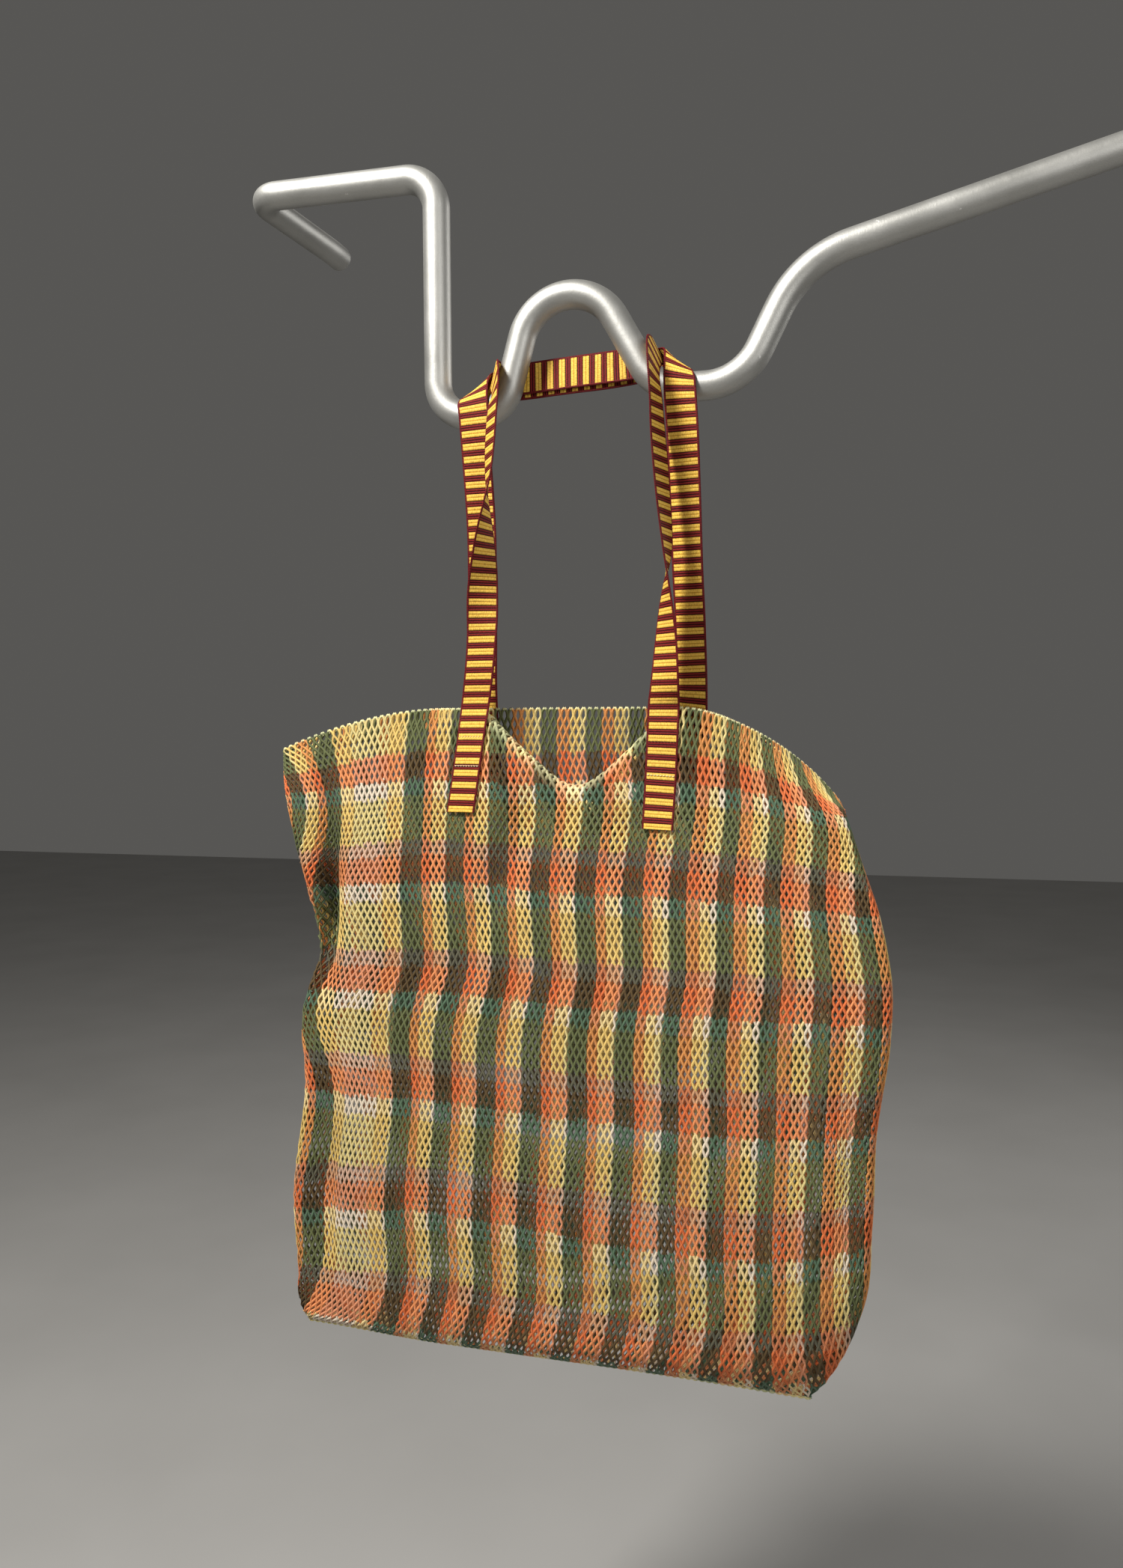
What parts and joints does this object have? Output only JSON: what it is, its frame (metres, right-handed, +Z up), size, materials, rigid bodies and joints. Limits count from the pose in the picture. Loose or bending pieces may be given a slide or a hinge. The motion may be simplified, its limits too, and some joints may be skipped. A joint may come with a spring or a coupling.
{
  "type": "net tote bag on a bent tube wall rail",
  "caption": "Plaid net tote bag that hangs open by striped webbing handles from the dips of a bent round tube rail standing off a wall.",
  "frame": {"origin": "centre of the rail's first wall end, on the wall face", "axes": "+X along the wall from the first wall end to the second, +Y into the wall, +Z up"},
  "size_m": [0.7327, 0.1734, 0.9728],
  "materials": {
    "satin_steel": "satin",
    "plaid_net": "matt cotton net",
    "striped_webbing": "matt ribbed webbing"
  },
  "bodies": {
    "root": {"rail": "satin_steel", "net_body": "plaid_net", "front_handle": "striped_webbing", "back_handle": "striped_webbing"}
  },
  "joints": []
}
